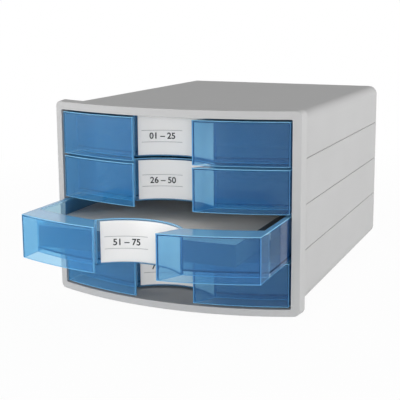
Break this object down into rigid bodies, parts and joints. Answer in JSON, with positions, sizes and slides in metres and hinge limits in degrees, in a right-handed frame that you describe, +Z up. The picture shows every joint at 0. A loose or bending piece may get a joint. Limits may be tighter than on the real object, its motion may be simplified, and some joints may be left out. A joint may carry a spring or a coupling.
{
  "type": "desktop drawer box",
  "caption": "Light grey desktop drawer box with a bowed front frame and sliding translucent blue drawers, each with hollow wing grips and a curved label recess",
  "frame": {"origin": "on the table, under the middle of the housing's width and depth", "axes": "+X to the right seen from the front, +Y into the depth so that the drawers open toward -Y, +Z up"},
  "size_m": [0.294, 0.4759, 0.2267],
  "materials": {
    "housing": "light grey injection moulding with a fine texture",
    "rail": "plain grey moulding",
    "foot": "dull dark rubber",
    "drawer": "clear blue polished plastic",
    "card": "plain white card",
    "sheets": "grey sheets in a stack"
  },
  "bodies": {
    "housing": {"housing_shell": "housing", "base_panel": "housing", "rear_panel": "housing", "front_frame": "housing", "rail_left_1": "rail", "rail_left_2": "rail", "rail_left_3": "rail", "rail_right_1": "rail", "rail_right_2": "rail", "rail_right_3": "rail", "foot_front_left": "foot", "foot_front_right": "foot", "foot_rear_left": "foot", "foot_rear_right": "foot"},
    "drawer_1": {"drawer_1": "drawer", "label_card_1": "card"},
    "drawer_2": {"drawer_2": "drawer", "label_card_2": "card"},
    "drawer_3": {"drawer_3": "drawer", "label_card_3": "card", "sheet_stack": "sheets"},
    "drawer_4": {"drawer_4": "drawer", "label_card_4": "card"}
  },
  "joints": [
    {"name": "drawer_1_slide", "type": "slide", "parent": "housing", "child": "drawer_1", "axis": [0, -1, 0], "range_m": [0, 0.25]},
    {"name": "drawer_2_slide", "type": "slide", "parent": "housing", "child": "drawer_2", "axis": [0, -1, 0], "range_m": [0, 0.25]},
    {"name": "drawer_3_slide", "type": "slide", "parent": "housing", "child": "drawer_3", "axis": [0, -1, 0], "range_m": [-0.087, 0.163]},
    {"name": "drawer_4_slide", "type": "slide", "parent": "housing", "child": "drawer_4", "axis": [0, -1, 0], "range_m": [0, 0.25]}
  ]
}
